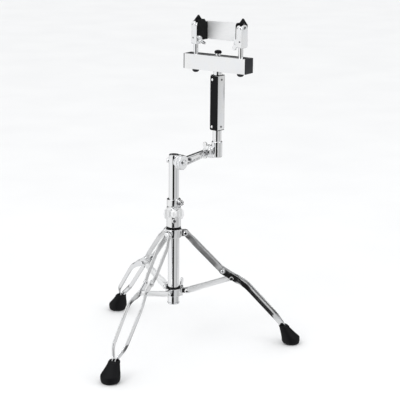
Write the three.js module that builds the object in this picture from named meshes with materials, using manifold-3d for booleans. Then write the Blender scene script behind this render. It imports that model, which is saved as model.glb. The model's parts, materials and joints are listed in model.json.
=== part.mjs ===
// A folding, double-braced tripod stand with an offset tilting arm and a two-jaw percussion clamp.
// Millimetres, +Z up. The tripod's tube is upright, and leg c points along +X.

import * as THREE from 'three';
import { mergeVertices } from 'three/addons/utils/BufferGeometryUtils.js';
import Module from 'manifold-3d';

const wasm = await Module();
wasm.setup();

// ---------------------------------------------------------------- driving dimensions

const GAP = 0.3; // between neighbouring parts that don't move on each other
const FIT = 0.4; // radial running clearance
const ROUND = 32; // facets round a tube
const SMALL_ROUND = 14; // facets round a pin or a bolt

const LOWER_TUBE = { radius: 14.3, wall: 1.2, bottom: 113.3, top: 359.7 };
const UPPER_TUBE = { radius: 12.7, wall: 1.6, bottom: 130, top: 497 };
const POST = { radius: 11.1, wall: 1.6, bottom: 478, top: 696.7 };

// The leg's side view: r is the distance from the tube's axis, z is up.
const HUB_PIN = { r: 30, z: 296 };
const KNEE_RIVET = { r: 124, z: 197 };
const KNEE_PIVOT = { r: 147, z: 177 };
const FLARE_START = { r: 152, z: 179 };
const FLARE_END = { r: 184, z: 161 };
const LOWER_BEND = { r: 262, z: 75 };
const ANKLE = { r: 280.5, z: 51 };
const FOOT_CENTRE = { r: 302, z: 0 };
const BRACE_PIN = { r: 34, z: 143 };

const LEG_ANGLES = { a: 120, b: -120, c: 0 };
const STRAP = { thickness: 2.4, upperDepth: 14, kneeDepth: 18, lowerDepth: 13 };

// The arm, the post and the clamp share one turned frame: x is the hinge axes' direction, y the arm's.
const COLUMN_ANGLE = -35;
const ARM = { inner: 21.1, thickness: 8.4, radius: 19, endRadius: 17 };
const LOWER_TILT = { y: 0, z: 481 };
const UPPER_TILT = { y: 123, z: 488 };
const POST_X = 47.5;

const BEAM = { length: 184, depth: 35.5, height: 38, wall: 2, bottom: 697, cap: 2.5 };
const BEAM_TOP = BEAM.bottom + BEAM.height;
const JAW = {
  x: 66.5, width: 17, front: -10, back: 17, bottom: 759, top: 817, postRadius: 6.35, postTop: 790,
  boreTop: 804, screwRadius: 2.2, screwX: 2, screwZ: 775,
};
const PLATE = { front: 38.3, thickness: 3, bottom: 768, top: 814 };
const FLANGE = { inner: 58, outer: 60.5 };
const TAB = { outer: 74, bottom: 762, top: 789.5, screwZ: 776 };
const WING_Z = 769;
const WING_TURN = { left: 50, right: 8 };

// ---------------------------------------------------------------- finishes

const FINISHES = {
  chrome: { color: 0xd4d7da, roughness: 0.12, metalness: 1 },
  darkSteel: { color: 0x6b6e72, roughness: 0.35, metalness: 1 },
  blackRubber: { color: 0x131314, roughness: 0.85, metalness: 0 },
  blackPlastic: { color: 0x0d0d0e, roughness: 0.4, metalness: 0 },
};

function part(group, name, geometry, finish) {
  const mesh = new THREE.Mesh(geometry, new THREE.MeshStandardMaterial(FINISHES[finish]));
  mesh.name = name;
  group.add(mesh);
  return mesh;
}

// ---------------------------------------------------------------- shape helpers

function bare(geometry) {
  const copy = geometry.index ? geometry.toNonIndexed() : geometry.clone();
  copy.deleteAttribute('normal');
  copy.deleteAttribute('uv');
  return mergeVertices(copy, 1e-4);
}

function toManifold(geometry) {
  const merged = bare(geometry);
  const mesh = new wasm.Mesh({
    numProp: 3,
    vertProperties: new Float32Array(merged.attributes.position.array),
    triVerts: new Uint32Array(merged.index.array),
  });
  return new wasm.Manifold(mesh);
}

function fromManifold(manifold) {
  const mesh = manifold.getMesh();
  const geometry = new THREE.BufferGeometry();
  geometry.setAttribute('position', new THREE.BufferAttribute(mesh.vertProperties, 3));
  geometry.setIndex(new THREE.BufferAttribute(mesh.triVerts, 1));
  return geometry;
}

function join(...geometries) {
  const [first, ...rest] = geometries.map(toManifold);
  return fromManifold(rest.reduce((sum, next) => sum.add(next), first));
}

function cut(geometry, ...tools) {
  const remains = tools.map(toManifold).reduce((rest, tool) => rest.subtract(tool), toManifold(geometry));
  return fromManifold(remains);
}

// A turned solid about +Z from [radius, z] points that start and end on the axis, or close on themselves.
function turned(profile, facets = ROUND) {
  const points = profile.map(([radius, z]) => new THREE.Vector2(radius, z));
  const geometry = new THREE.LatheGeometry(points, facets);
  geometry.rotateX(Math.PI / 2);
  return geometry;
}

function rod(radius, bottom, top, facets = ROUND) {
  return turned([[0, bottom], [radius, bottom], [radius, top], [0, top]], facets);
}

function pipe(inner, outer, bottom, top, facets = ROUND) {
  return turned([[inner, bottom], [outer, bottom], [outer, top], [inner, top], [inner, bottom]], facets);
}

function block(x0, x1, y0, y1, z0, z1) {
  const geometry = new THREE.BoxGeometry(x1 - x0, y1 - y0, z1 - z0);
  geometry.translate((x0 + x1) / 2, (y0 + y1) / 2, (z0 + z1) / 2);
  return geometry;
}

// An outline of [a, b] points, extruded by depth along +Z.
function prism(outline, depth) {
  const shape = new THREE.Shape(outline.map(([a, b]) => new THREE.Vector2(a, b)));
  return new THREE.ExtrudeGeometry(shape, { depth, bevelEnabled: false });
}

// A prism whose outline lies in the YZ plane and that reaches from x0 to x1.
function sidePrism(outline, x0, x1) {
  const geometry = prism(outline, x1 - x0);
  geometry.applyMatrix4(new THREE.Matrix4().makeBasis(
    new THREE.Vector3(0, 1, 0), new THREE.Vector3(0, 0, 1), new THREE.Vector3(1, 0, 0)));
  geometry.translate(x0, 0, 0);
  return geometry;
}

// Turns a solid made about +Z so that its axis points along the given direction, then moves it.
function aim(geometry, direction, place = [0, 0, 0]) {
  const turn = new THREE.Quaternion().setFromUnitVectors(
    new THREE.Vector3(0, 0, 1), new THREE.Vector3(...direction).normalize());
  geometry.applyQuaternion(turn);
  geometry.translate(...place);
  return geometry;
}

function arc(centreA, centreB, radius, fromDegrees, toDegrees, steps) {
  return Array.from({ length: steps + 1 }, (_, i) => {
    const angle = THREE.MathUtils.degToRad(fromDegrees + ((toDegrees - fromDegrees) * i) / steps);
    return [centreA + radius * Math.cos(angle), centreB + radius * Math.sin(angle)];
  });
}

// Joins closed rings of points, all of one length, into a solid.
function loft(rings) {
  const size = rings[0].length;
  const index = [];
  const quad = (a, b, c, d) => index.push(a, b, c, a, c, d);
  for (let ring = 0; ring < rings.length - 1; ring += 1) {
    for (let k = 0; k < size; k += 1) {
      const start = ring * size;
      const next = (k + 1) % size;
      quad(start + k, start + next, start + size + next, start + size + k);
    }
  }
  const last = (rings.length - 1) * size;
  for (let k = 1; k < size - 1; k += 1) {
    index.push(0, k + 1, k);
    index.push(last, last + k, last + k + 1);
  }
  const geometry = new THREE.BufferGeometry().setFromPoints(rings.flat());
  geometry.setIndex(index);
  return facingOut(geometry);
}

// Turns every triangle round if the solid's signed volume is negative.
function facingOut(geometry) {
  const index = geometry.index.array;
  const corner = (k) => new THREE.Vector3().fromBufferAttribute(geometry.attributes.position, k);
  let volume = 0;
  for (let i = 0; i < index.length; i += 3) {
    volume += corner(index[i]).dot(corner(index[i + 1]).cross(corner(index[i + 2])));
  }
  if (volume < 0) geometry.setIndex(Array.from(index).reverse());
  return geometry;
}

// ---------------------------------------------------------------- fasteners

// A headed pin about +Z, centred on the origin, with a round head at each end of its grip.
function headedPin(radius, headRadius, grip, headHeight) {
  const half = grip / 2;
  const crown = half + headHeight;
  return turned([
    [0, -crown], [headRadius * 0.7, -crown], [headRadius, -half - headHeight / 2], [headRadius, -half],
    [radius, -half], [radius, half],
    [headRadius, half], [headRadius, half + headHeight / 2], [headRadius * 0.7, crown], [0, crown],
  ], SMALL_ROUND);
}

// One ear of a wing, in the plane of its axis: it leaves the hub and ends in a round lobe.
function wingOutline(span, lobe) {
  const tip = arc(span - lobe, lobe * 1.6, lobe, -90, 110, 8);
  return [[0, 1], [span - lobe, lobe * 0.6], ...tip, [0, lobe * 1.6]];
}

// A wing screw about +Z: the shank goes down from the origin, the hub and both ears go up.
function wingScrew({ shankRadius, shankLength, hubRadius, hubHeight, span, lobe, thickness }) {
  const shank = rod(shankRadius, -shankLength, 1, SMALL_ROUND);
  const hub = turned([
    [0, 0], [hubRadius, 0], [hubRadius * 0.8, hubHeight * 0.8], [hubRadius * 0.45, hubHeight], [0, hubHeight],
  ], SMALL_ROUND);
  const ears = [1, -1].map((side) => {
    const ear = prism(wingOutline(span, lobe), thickness);
    ear.translate(0, 0, -thickness / 2);
    ear.rotateX(Math.PI / 2);
    if (side < 0) ear.rotateZ(Math.PI);
    return ear;
  });
  return join(hub, shank, ...ears);
}

function hexPrism(radius, bottom, top) {
  return rod(radius, bottom, top, 6);
}

// ---------------------------------------------------------------- tripod base

function addBase(base) {
  const inner = LOWER_TUBE.radius - LOWER_TUBE.wall;
  part(base, 'lower_tube', pipe(inner, LOWER_TUBE.radius, LOWER_TUBE.bottom, LOWER_TUBE.top), 'chrome');

  const capRadius = LOWER_TUBE.radius + 0.8;
  const plugRadius = inner - GAP;
  part(base, 'tube_end_cap', turned([
    [0, 108], [capRadius - 1.5, 108], [capRadius, 109.5], [capRadius, LOWER_TUBE.bottom - GAP],
    [plugRadius, LOWER_TUBE.bottom - GAP], [plugRadius, 125], [0, 125],
  ]), 'chrome');

  addTopHub(base);
  addHeightClamp(base);
}

// A ring about the tube with one lug for each leg: the lug's round end carries a pin hole.
function lobedHub({ bore, radius, bottom, top, pin, lugHalfWidth, lugRadius, pinRadius }) {
  const lugs = Object.values(LEG_ANGLES).map((degrees) => {
    const arm = block(bore + 1.5, pin.r, -lugHalfWidth, lugHalfWidth, pin.z - lugRadius, pin.z + lugRadius);
    const end = aim(rod(lugRadius, -lugHalfWidth, lugHalfWidth, SMALL_ROUND), [0, 1, 0], [pin.r, 0, pin.z]);
    return join(arm, end).rotateZ(THREE.MathUtils.degToRad(degrees));
  });
  const holes = Object.values(LEG_ANGLES).map((degrees) => {
    const hole = aim(rod(pinRadius + FIT, -20, 20, SMALL_ROUND), [0, 1, 0], [pin.r, 0, pin.z]);
    return hole.rotateZ(THREE.MathUtils.degToRad(degrees));
  });
  return cut(join(pipe(bore, radius, bottom, top), ...lugs), ...holes);
}

const LEG_PIN = { radius: 3, head: 5.5, headHeight: 2.4 };
const BRACE_PIN_SIZE = { radius: 2.6, head: 4.6, headHeight: 2 };
const HUB_LUG = { halfWidth: 5, radius: 8.5 };
const BRACE_LUG = { halfWidth: 3, radius: 6.5 };

function addTopHub(base) {
  part(base, 'top_hub', lobedHub({
    bore: LOWER_TUBE.radius + GAP, radius: 20, bottom: 286, top: 307, pin: HUB_PIN,
    lugHalfWidth: HUB_LUG.halfWidth, lugRadius: HUB_LUG.radius, pinRadius: LEG_PIN.radius,
  }), 'chrome');
  part(base, 'top_hub_bushing', pipe(LOWER_TUBE.radius + GAP, 18.2, 307 + GAP, 313 - GAP), 'blackPlastic');
}

// The clamp at the lower tube's mouth. Its wing bolt points along -Y and presses on the upper tube.
const CLAMP = { radius: 18, bottom: 313, top: 366, bossEnd: 25, boltZ: 353, screwZ: 331 };

function addHeightClamp(base) {
  const throat = UPPER_TUBE.radius + FIT;
  const shell = turned([
    [LOWER_TUBE.radius + GAP, CLAMP.bottom], [CLAMP.radius, CLAMP.bottom], [CLAMP.radius, CLAMP.top - 2],
    [CLAMP.radius - 2, CLAMP.top], [throat, CLAMP.top], [throat, LOWER_TUBE.top + GAP],
    [LOWER_TUBE.radius + GAP, LOWER_TUBE.top + GAP], [LOWER_TUBE.radius + GAP, CLAMP.bottom],
  ]);
  const boss = aim(rod(9, 12, CLAMP.bossEnd, SMALL_ROUND), [0, -1, 0], [0, 0, CLAMP.boltZ]);
  const screwBoss = aim(rod(5, 12, 21, SMALL_ROUND), [0, -1, 0], [2, 0, CLAMP.screwZ]);
  const clearTube = rod(LOWER_TUBE.radius + GAP, CLAMP.bottom - 1, LOWER_TUBE.top + GAP);
  const clearUpper = rod(throat, LOWER_TUBE.top, CLAMP.top + 1);
  const thread = aim(rod(4 + GAP, 10, 40, SMALL_ROUND), [0, -1, 0], [0, 0, CLAMP.boltZ]);
  part(base, 'height_clamp', cut(join(shell, boss, screwBoss), clearTube, clearUpper, thread), 'chrome');
}

// The clamp's bolt has broad, flat wings that face along its axis.
function clampWing() {
  const hub = turned([[0, 0], [7.5, 0], [6.5, 8], [4, 10.5], [0, 10.5]], SMALL_ROUND);
  const shank = rod(4, LOWER_TUBE.radius + 2 - CLAMP.bossEnd, 1, SMALL_ROUND);
  const lobe = arc(0, 0, 1, -125, 125, 12).map(([x, y]) => [18.5 + 6.5 * x, 13.5 * y]);
  const ears = [1, -1].map((side) => {
    const ear = prism([[0, -3], ...lobe, [0, 3]], 3.5).translate(0, 0, 3.5);
    return side > 0 ? ear : ear.rotateZ(Math.PI);
  });
  return aim(join(hub, shank, ...ears), [0, -1, 0], [0, -CLAMP.bossEnd - GAP, CLAMP.boltZ]);
}

// ---------------------------------------------------------------- sliding lower hub

const LOWER_HUB = { bottom: 131, top: 150, radius: 20, bossAngle: 60, bossEnd: 33 };

function addLowerHub(base) {
  const bore = LOWER_TUBE.radius + FIT;
  const direction = new THREE.Vector3(1, 0, 0).applyAxisAngle(
    new THREE.Vector3(0, 0, 1), THREE.MathUtils.degToRad(LOWER_HUB.bossAngle));
  const middle = (LOWER_HUB.bottom + LOWER_HUB.top) / 2;
  const hub = lobedHub({
    bore, radius: LOWER_HUB.radius, bottom: LOWER_HUB.bottom, top: LOWER_HUB.top, pin: BRACE_PIN,
    lugHalfWidth: BRACE_LUG.halfWidth, lugRadius: BRACE_LUG.radius, pinRadius: BRACE_PIN_SIZE.radius,
  });
  const boss = aim(rod(8, 16, LOWER_HUB.bossEnd, SMALL_ROUND), direction.toArray(), [0, 0, middle]);
  const thread = aim(rod(4 + GAP, 10, 40, SMALL_ROUND), direction.toArray(), [0, 0, middle]);
  part(base, 'lower_hub', cut(join(hub, boss), thread), 'chrome');
  part(base, 'lower_hub_bushing', pipe(bore, 18.2, LOWER_HUB.top + GAP, 154), 'blackPlastic');

  const wing = wingScrew({
    shankRadius: 4, shankLength: LOWER_HUB.bossEnd - 15.5, hubRadius: 7, hubHeight: 12,
    span: 24, lobe: 6, thickness: 4.5,
  });
  wing.rotateZ(Math.PI / 2);
  wing.rotateY(Math.PI / 2);
  wing.rotateX(Math.PI / 2);
  wing.translate(LOWER_HUB.bossEnd + GAP, 0, middle);
  wing.rotateZ(THREE.MathUtils.degToRad(LOWER_HUB.bossAngle));
  part(base, 'lower_hub_wing_screw', wing, 'chrome');
}

// ---------------------------------------------------------------- legs

// A flat strap standing on edge. Each station is a point of its centre line: r outwards, z up, h sideways.
// A station can narrow the strap's depth with its own depth.
function strapGeometry(stations, depth, thickness) {
  const points = stations.map((station) => new THREE.Vector3(station.r, station.h, station.z));
  const heading = (i) => points[i + 1].clone().sub(points[i]).normalize();
  const rings = stations.map((station, i) => {
    const arriving = heading(Math.max(i - 1, 0));
    const leaving = heading(Math.min(i, stations.length - 2));
    const along = arriving.clone().add(leaving).normalize();
    const miter = 1 / along.dot(arriving);
    const up = new THREE.Vector3(-along.z, 0, along.x).normalize();
    const side = along.clone().cross(up).normalize().multiplyScalar((thickness / 2) * miter);
    up.multiplyScalar((station.depth ?? depth) / 2);
    return [[1, 1], [-1, 1], [-1, -1], [1, -1]].map(([a, b]) => (
      points[i].clone().addScaledVector(up, a).addScaledVector(side, b)));
  });
  return loft(rings);
}

function between(start, end, distance) {
  const length = Math.hypot(end.r - start.r, end.z - start.z);
  const t = distance / length;
  return { r: start.r + (end.r - start.r) * t, z: start.z + (end.z - start.z) * t };
}

// Sideways places of the straps' centre planes, from the leg's middle plane.
const SIDEWAYS = {
  atHub: 6.6, upperLeaf: 12, upperKnee: 10.2, lowerKnee: 7.3, lowerLeaf: 19.5, lowBend: 17.5, ankle: 4.2,
};
const KNEE_RIVET_SIZE = { radius: 2.8, head: 5.2, headHeight: 3, hole: 3.2 };
const KNEE_BOLT = { head: 5.4, headHeight: 4.6 };

function drill(geometry, at, radius) {
  return cut(geometry, aim(rod(radius, -40, 40, SMALL_ROUND), [0, 1, 0], [at.r, 0, at.z]));
}

function upperStrap(side) {
  const length = Math.hypot(KNEE_RIVET.r - HUB_PIN.r, KNEE_RIVET.z - HUB_PIN.z);
  const station = (distance, h, depth) => ({ ...between(HUB_PIN, KNEE_RIVET, distance), h: side * h, depth });
  const strap = strapGeometry([
    station(-8, SIDEWAYS.atHub, 7),
    station(-4.5, SIDEWAYS.atHub),
    station(14, SIDEWAYS.atHub),
    station(32, SIDEWAYS.upperLeaf),
    station(length - 22, SIDEWAYS.upperLeaf),
    station(length - 9, SIDEWAYS.upperKnee),
    station(length + 4, SIDEWAYS.upperKnee),
    station(length + 8, SIDEWAYS.upperKnee, 7),
  ], STRAP.upperDepth, STRAP.thickness);
  return drill(drill(strap, HUB_PIN, LEG_PIN.radius + FIT), KNEE_RIVET, KNEE_RIVET_SIZE.hole);
}

// The lower strap carries its two rivets as one piece: the upper one holds the upper strap.
function lowerStrap(side) {
  const station = (at, h, depth) => ({ ...at, h: side * h, depth });
  const strap = strapGeometry([
    station(between(KNEE_RIVET, FLARE_START, -9), SIDEWAYS.lowerKnee, 8),
    station(between(KNEE_RIVET, FLARE_START, -4), SIDEWAYS.lowerKnee, 15),
    station(KNEE_RIVET, SIDEWAYS.lowerKnee, STRAP.kneeDepth),
    station(FLARE_START, SIDEWAYS.lowerKnee, STRAP.kneeDepth),
    station(FLARE_END, SIDEWAYS.lowerLeaf, STRAP.lowerDepth),
    station(LOWER_BEND, SIDEWAYS.lowBend, STRAP.lowerDepth),
    station(ANKLE, SIDEWAYS.ankle, STRAP.lowerDepth),
    station(between(ANKLE, FOOT_CENTRE, 18), SIDEWAYS.ankle, STRAP.lowerDepth - 2),
  ], STRAP.lowerDepth, STRAP.thickness);
  const outside = SIDEWAYS.lowerKnee;
  const seat = SIDEWAYS.upperKnee + STRAP.thickness / 2 + GAP;
  const { radius, head, headHeight } = KNEE_RIVET_SIZE;
  const shank = rod(radius, outside, seat + 0.5, SMALL_ROUND);
  const dome = turned([
    [0, seat], [head, seat], [head * 0.88, seat + headHeight * 0.66], [0, seat + headHeight],
  ], SMALL_ROUND);
  const rivet = aim(join(shank, dome), [0, side, 0], [KNEE_RIVET.r, 0, KNEE_RIVET.z]);
  const top = outside + KNEE_BOLT.headHeight;
  const boltHead = turned([
    [0, outside], [KNEE_BOLT.head, outside], [KNEE_BOLT.head, top - 1.6], [KNEE_BOLT.head - 1.4, top],
    [0, top],
  ], SMALL_ROUND);
  const bolt = aim(boltHead, [0, side, 0], [KNEE_PIVOT.r, 0, KNEE_PIVOT.z]);
  return join(strap, rivet, bolt);
}

// The rubber foot is a boot with a round sole and a raised toe. Each ring gives the height, how far the ring
// reaches inwards and outwards from the foot's centre, and its half width.
const FOOT_RINGS = [
  [0, -15, 20, 18], [2, -18.5, 22.8, 21.6], [7, -21.2, 24.3, 24], [14, -22.3, 24.4, 24.7],
  [18.5, -23, 23.4, 24.3], [21.5, -23.6, 20.5, 23.4], [30, -25.4, 11, 20], [39, -27.6, 1.5, 16.8],
  [45, -29.2, -3.6, 14.8], [49, -30.4, -7.4, 13.2],
];
const FOOT_FACETS = 28;
const POCKET = { halfDepth: 7, halfWidth: 7.3, bottom: 30, top: 63 };

function foot() {
  const boot = loft(FOOT_RINGS.map(([z, inner, outer, halfWidth]) => (
    Array.from({ length: FOOT_FACETS }, (_, k) => {
      const angle = (2 * Math.PI * k) / FOOT_FACETS;
      const reach = (outer - inner) / 2;
      return new THREE.Vector3((inner + outer) / 2 + reach * Math.cos(angle), halfWidth * Math.sin(angle), z);
    }))));
  const pocket = block(
    -POCKET.halfDepth, POCKET.halfDepth, -POCKET.halfWidth, POCKET.halfWidth, POCKET.bottom, POCKET.top);
  pocket.rotateY(-Math.atan2(FOOT_CENTRE.r - ANKLE.r, ANKLE.z));
  return cut(boot, pocket).translate(FOOT_CENTRE.r, 0, 0);
}

// The brace is a channel, open below: wide over the hub's lug, then narrower between the leg's straps.
const BRACE = { depth: 12, web: 1.8, wall: 1.8, hubHalf: 7.5, kneeHalf: 5.3, narrowFrom: 30, narrowTo: 42 };

function braceOutline(inset, startReach, endReach, length) {
  const wide = BRACE.hubHalf - inset;
  const narrow = BRACE.kneeHalf - inset;
  const half = [
    [-startReach, wide], [BRACE.narrowFrom, wide], [BRACE.narrowTo, narrow], [length + endReach, narrow],
  ];
  return [...half, ...half.map(([x, y]) => [x, -y]).reverse()];
}

function brace() {
  const rise = Math.atan2(KNEE_PIVOT.z - BRACE_PIN.z, KNEE_PIVOT.r - BRACE_PIN.r);
  const length = Math.hypot(KNEE_PIVOT.z - BRACE_PIN.z, KNEE_PIVOT.r - BRACE_PIN.r);
  const outer = prism(braceOutline(0, -1, 6, length), BRACE.depth);
  outer.translate(0, 0, -BRACE.depth / 2);
  const inner = prism(braceOutline(BRACE.wall, 12, -9, length), BRACE.depth);
  inner.translate(0, 0, -BRACE.depth / 2 - BRACE.web);
  const nose = aim(rod(BRACE.depth / 2, -BRACE.hubHalf, BRACE.hubHalf, SMALL_ROUND), [0, 1, 0]);
  const noseGap = block(-12, 12, -BRACE.hubHalf + BRACE.wall, BRACE.hubHalf - BRACE.wall, -20, 20);
  const pinHole = aim(rod(BRACE_PIN_SIZE.radius + FIT, -20, 20, SMALL_ROUND), [0, 1, 0]);
  const eye = aim(rod(3.4, -20, 20, SMALL_ROUND), [0, 1, 0], [length, 0, 0]);
  const channel = cut(join(outer, nose), inner, noseGap, pinHole, eye);
  channel.rotateY(-rise);
  channel.translate(BRACE_PIN.r, 0, BRACE_PIN.z);
  return channel;
}

function addLeg(base, letter) {
  const leg = new THREE.Group();
  leg.rotation.z = THREE.MathUtils.degToRad(LEG_ANGLES[letter]);
  base.add(leg);
  for (const [side, label] of [[1, 'left'], [-1, 'right']]) {
    part(leg, `leg_${letter}_upper_strap_${label}`, upperStrap(side), 'chrome');
    part(leg, `leg_${letter}_lower_strap_${label}`, lowerStrap(side), 'chrome');
  }
  part(leg, `leg_${letter}_foot`, foot(), 'blackRubber');
  part(leg, `brace_${letter}`, brace(), 'chrome');

  const pinGrip = 2 * (SIDEWAYS.atHub + STRAP.thickness / 2 + GAP);
  const hubPin = headedPin(LEG_PIN.radius, LEG_PIN.head, pinGrip, LEG_PIN.headHeight);
  part(leg, `leg_${letter}_hub_pin`, aim(hubPin, [0, 1, 0], [HUB_PIN.r, 0, HUB_PIN.z]), 'chrome');

  const bracePin = headedPin(
    BRACE_PIN_SIZE.radius, BRACE_PIN_SIZE.head, 2 * (BRACE.hubHalf + GAP), BRACE_PIN_SIZE.headHeight);
  part(leg, `brace_${letter}_hub_pin`, aim(bracePin, [0, 1, 0], [BRACE_PIN.r, 0, BRACE_PIN.z]), 'chrome');
}

// ---------------------------------------------------------------- height column

const COLLAR = {
  bottom: 366 + GAP, top: 384.5, radius: 17.5, earX: 20.5, earRadius: 7.5, earHalf: 6.5, split: 1,
};
const COLLAR_BOLT = { radius: 2.4, head: 4.2, headHeight: 3 };

function addUpperTube(column) {
  const inner = UPPER_TUBE.radius - UPPER_TUBE.wall;
  const boltHole = aim(rod(4 + FIT, -30, 30, SMALL_ROUND), [1, 0, 0], [0, LOWER_TILT.y, LOWER_TILT.z]);
  const tube = cut(pipe(inner, UPPER_TUBE.radius, UPPER_TUBE.bottom, UPPER_TUBE.top), boltHole);
  part(column, 'upper_tube', tube, 'chrome');
  part(column, 'upper_tube_cap', turned([
    [0, UPPER_TUBE.top - 9], [inner - GAP, UPPER_TUBE.top - 9], [inner - GAP, UPPER_TUBE.top + GAP],
    [UPPER_TUBE.radius, UPPER_TUBE.top + GAP],
    [UPPER_TUBE.radius - 1, UPPER_TUBE.top + 1.6], [0, UPPER_TUBE.top + 1.9],
  ]), 'chrome');
}

// The memory collar: a split ring with two ears that its bolt draws together.
function addMemoryCollar(column) {
  const middle = (COLLAR.bottom + COLLAR.top) / 2;
  const { earX, earRadius, earHalf, split } = COLLAR;
  const ring = pipe(UPPER_TUBE.radius + FIT, COLLAR.radius, COLLAR.bottom, COLLAR.top);
  const ears = aim(rod(earRadius, -earHalf, earHalf, SMALL_ROUND), [0, 1, 0], [earX - 1.5, 0, middle]);
  const bore = rod(UPPER_TUBE.radius + FIT, COLLAR.bottom - 1, COLLAR.top + 1);
  const slot = block(8, 40, -split, split, COLLAR.bottom - 1, COLLAR.top + 1);
  const hole = aim(rod(COLLAR_BOLT.radius + FIT, -20, 20, SMALL_ROUND), [0, 1, 0], [earX, 0, middle]);
  part(column, 'memory_collar', cut(join(ring, ears), bore, slot, hole), 'chrome');
  const bolt = headedPin(COLLAR_BOLT.radius, COLLAR_BOLT.head, 2 * (earHalf + GAP), COLLAR_BOLT.headHeight);
  part(column, 'memory_collar_bolt', aim(bolt, [0, 1, 0], [earX, 0, middle]), 'darkSteel');
}

// ---------------------------------------------------------------- tilters and arm

const TILT_BOLT = { radius: 4, head: 6.5 };

function addLowerTilter(column) {
  const place = [0, LOWER_TILT.y, LOWER_TILT.z];
  const face = ARM.inner - GAP;
  const disc = aim(turned([
    [0, 4], [11, 4], [ARM.radius, 14], [ARM.radius, face], [0, face],
  ]), [1, 0, 0], place);
  const saddle = rod(UPPER_TUBE.radius + GAP, 440, 520);
  const hole = aim(rod(TILT_BOLT.radius + FIT, -30, 40, SMALL_ROUND), [1, 0, 0], place);
  part(column, 'lower_tilter_disc', cut(disc, saddle, hole), 'chrome');

  const outside = ARM.inner + ARM.thickness + GAP;
  const shank = rod(TILT_BOLT.radius, -15, outside + 1, SMALL_ROUND);
  const head = hexPrism(TILT_BOLT.head, -20, -UPPER_TUBE.radius - GAP);
  const nut = turned([
    [0, outside], [7, outside], [7, outside + 2.5], [4.5, outside + 5], [0, outside + 5],
  ], SMALL_ROUND);
  part(column, 'lower_tilter_bolt', aim(join(shank, head, nut), [1, 0, 0], place), 'chrome');
}

// The arm: a flat bar, deeper at its lower end, between two discs.
function addArm(column) {
  const outer = ARM.inner + ARM.thickness;
  const discs = [[LOWER_TILT, ARM.radius], [UPPER_TILT, ARM.endRadius]].map(([tilt, radius]) => (
    aim(rod(radius, ARM.inner, outer), [1, 0, 0], [0, tilt.y, tilt.z])));
  const bar = sidePrism([
    [LOWER_TILT.y, LOWER_TILT.z - 11], [UPPER_TILT.y, UPPER_TILT.z - 8],
    [UPPER_TILT.y, UPPER_TILT.z + 8], [LOWER_TILT.y, LOWER_TILT.z + 11],
  ], ARM.inner, outer);
  const holes = [LOWER_TILT, UPPER_TILT].map((tilt) => (
    aim(rod(TILT_BOLT.radius + FIT, 0, 60, SMALL_ROUND), [1, 0, 0], [0, tilt.y, tilt.z])));
  part(column, 'tilter_arm', cut(join(...discs, bar), ...holes), 'chrome');
}

// The socket that turns on the arm's upper end and holds the post.
const SOCKET = { radius: 13.6, bottom: 475, top: 517, boltEnd: 36, disc: 5, waist: 12, end: 40 };

function addPostSocket(column) {
  const face = ARM.inner + ARM.thickness + GAP;
  const place = [0, UPPER_TILT.y, UPPER_TILT.z];
  const disc = aim(turned([
    [0, face], [ARM.endRadius, face], [ARM.endRadius, face + SOCKET.disc],
    [SOCKET.waist, SOCKET.end], [0, SOCKET.end],
  ]), [1, 0, 0], place);
  const cup = turned([
    [0, SOCKET.bottom], [SOCKET.radius - 2, SOCKET.bottom], [SOCKET.radius, SOCKET.bottom + 2],
    [SOCKET.radius, SOCKET.top - 1.5], [SOCKET.radius - 1.5, SOCKET.top], [0, SOCKET.top],
  ]).translate(POST_X, UPPER_TILT.y, 0);
  const bore = rod(POST.radius + GAP, POST.bottom - GAP, SOCKET.top + 1).translate(POST_X, UPPER_TILT.y, 0);
  const thread = aim(rod(TILT_BOLT.radius + FIT, 0, SOCKET.boltEnd + 0.5, SMALL_ROUND), [1, 0, 0], place);
  part(column, 'post_socket', cut(join(disc, cup), bore, thread), 'chrome');

  const wing = wingScrew({
    shankRadius: TILT_BOLT.radius, shankLength: SOCKET.boltEnd - ARM.inner + GAP, hubRadius: 8, hubHeight: 14,
    span: 22, lobe: 6, thickness: 4.5,
  });
  wing.rotateY(-Math.PI / 2);
  wing.translate(ARM.inner - GAP, UPPER_TILT.y, UPPER_TILT.z);
  part(column, 'upper_tilter_wing_screw', wing, 'chrome');
}

// ---------------------------------------------------------------- post and square column

const SQUARE = { side: 24.6, wall: 0.9, bottom: 547, top: 685, turn: -9 };

function addPost(head) {
  const inner = POST.radius - POST.wall;
  const bolt = 4 + FIT;
  part(head, 'post', turned([
    [inner, POST.bottom], [POST.radius, POST.bottom], [POST.radius, POST.top], [bolt, POST.top],
    [bolt, POST.top - 20], [inner, POST.top - 20], [inner, POST.bottom],
  ]), 'chrome');

  const half = SQUARE.side / 2;
  const hollow = half - SQUARE.wall;
  const sleeve = block(-half, half, -half, half, SQUARE.bottom, SQUARE.top);
  const inside = block(-hollow, hollow, -hollow, hollow, SQUARE.bottom - 1, SQUARE.top + 1);
  const square = cut(sleeve, inside).rotateZ(THREE.MathUtils.degToRad(SQUARE.turn));
  part(head, 'square_sleeve', square, 'chrome');
}

// ---------------------------------------------------------------- clamp head

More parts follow.
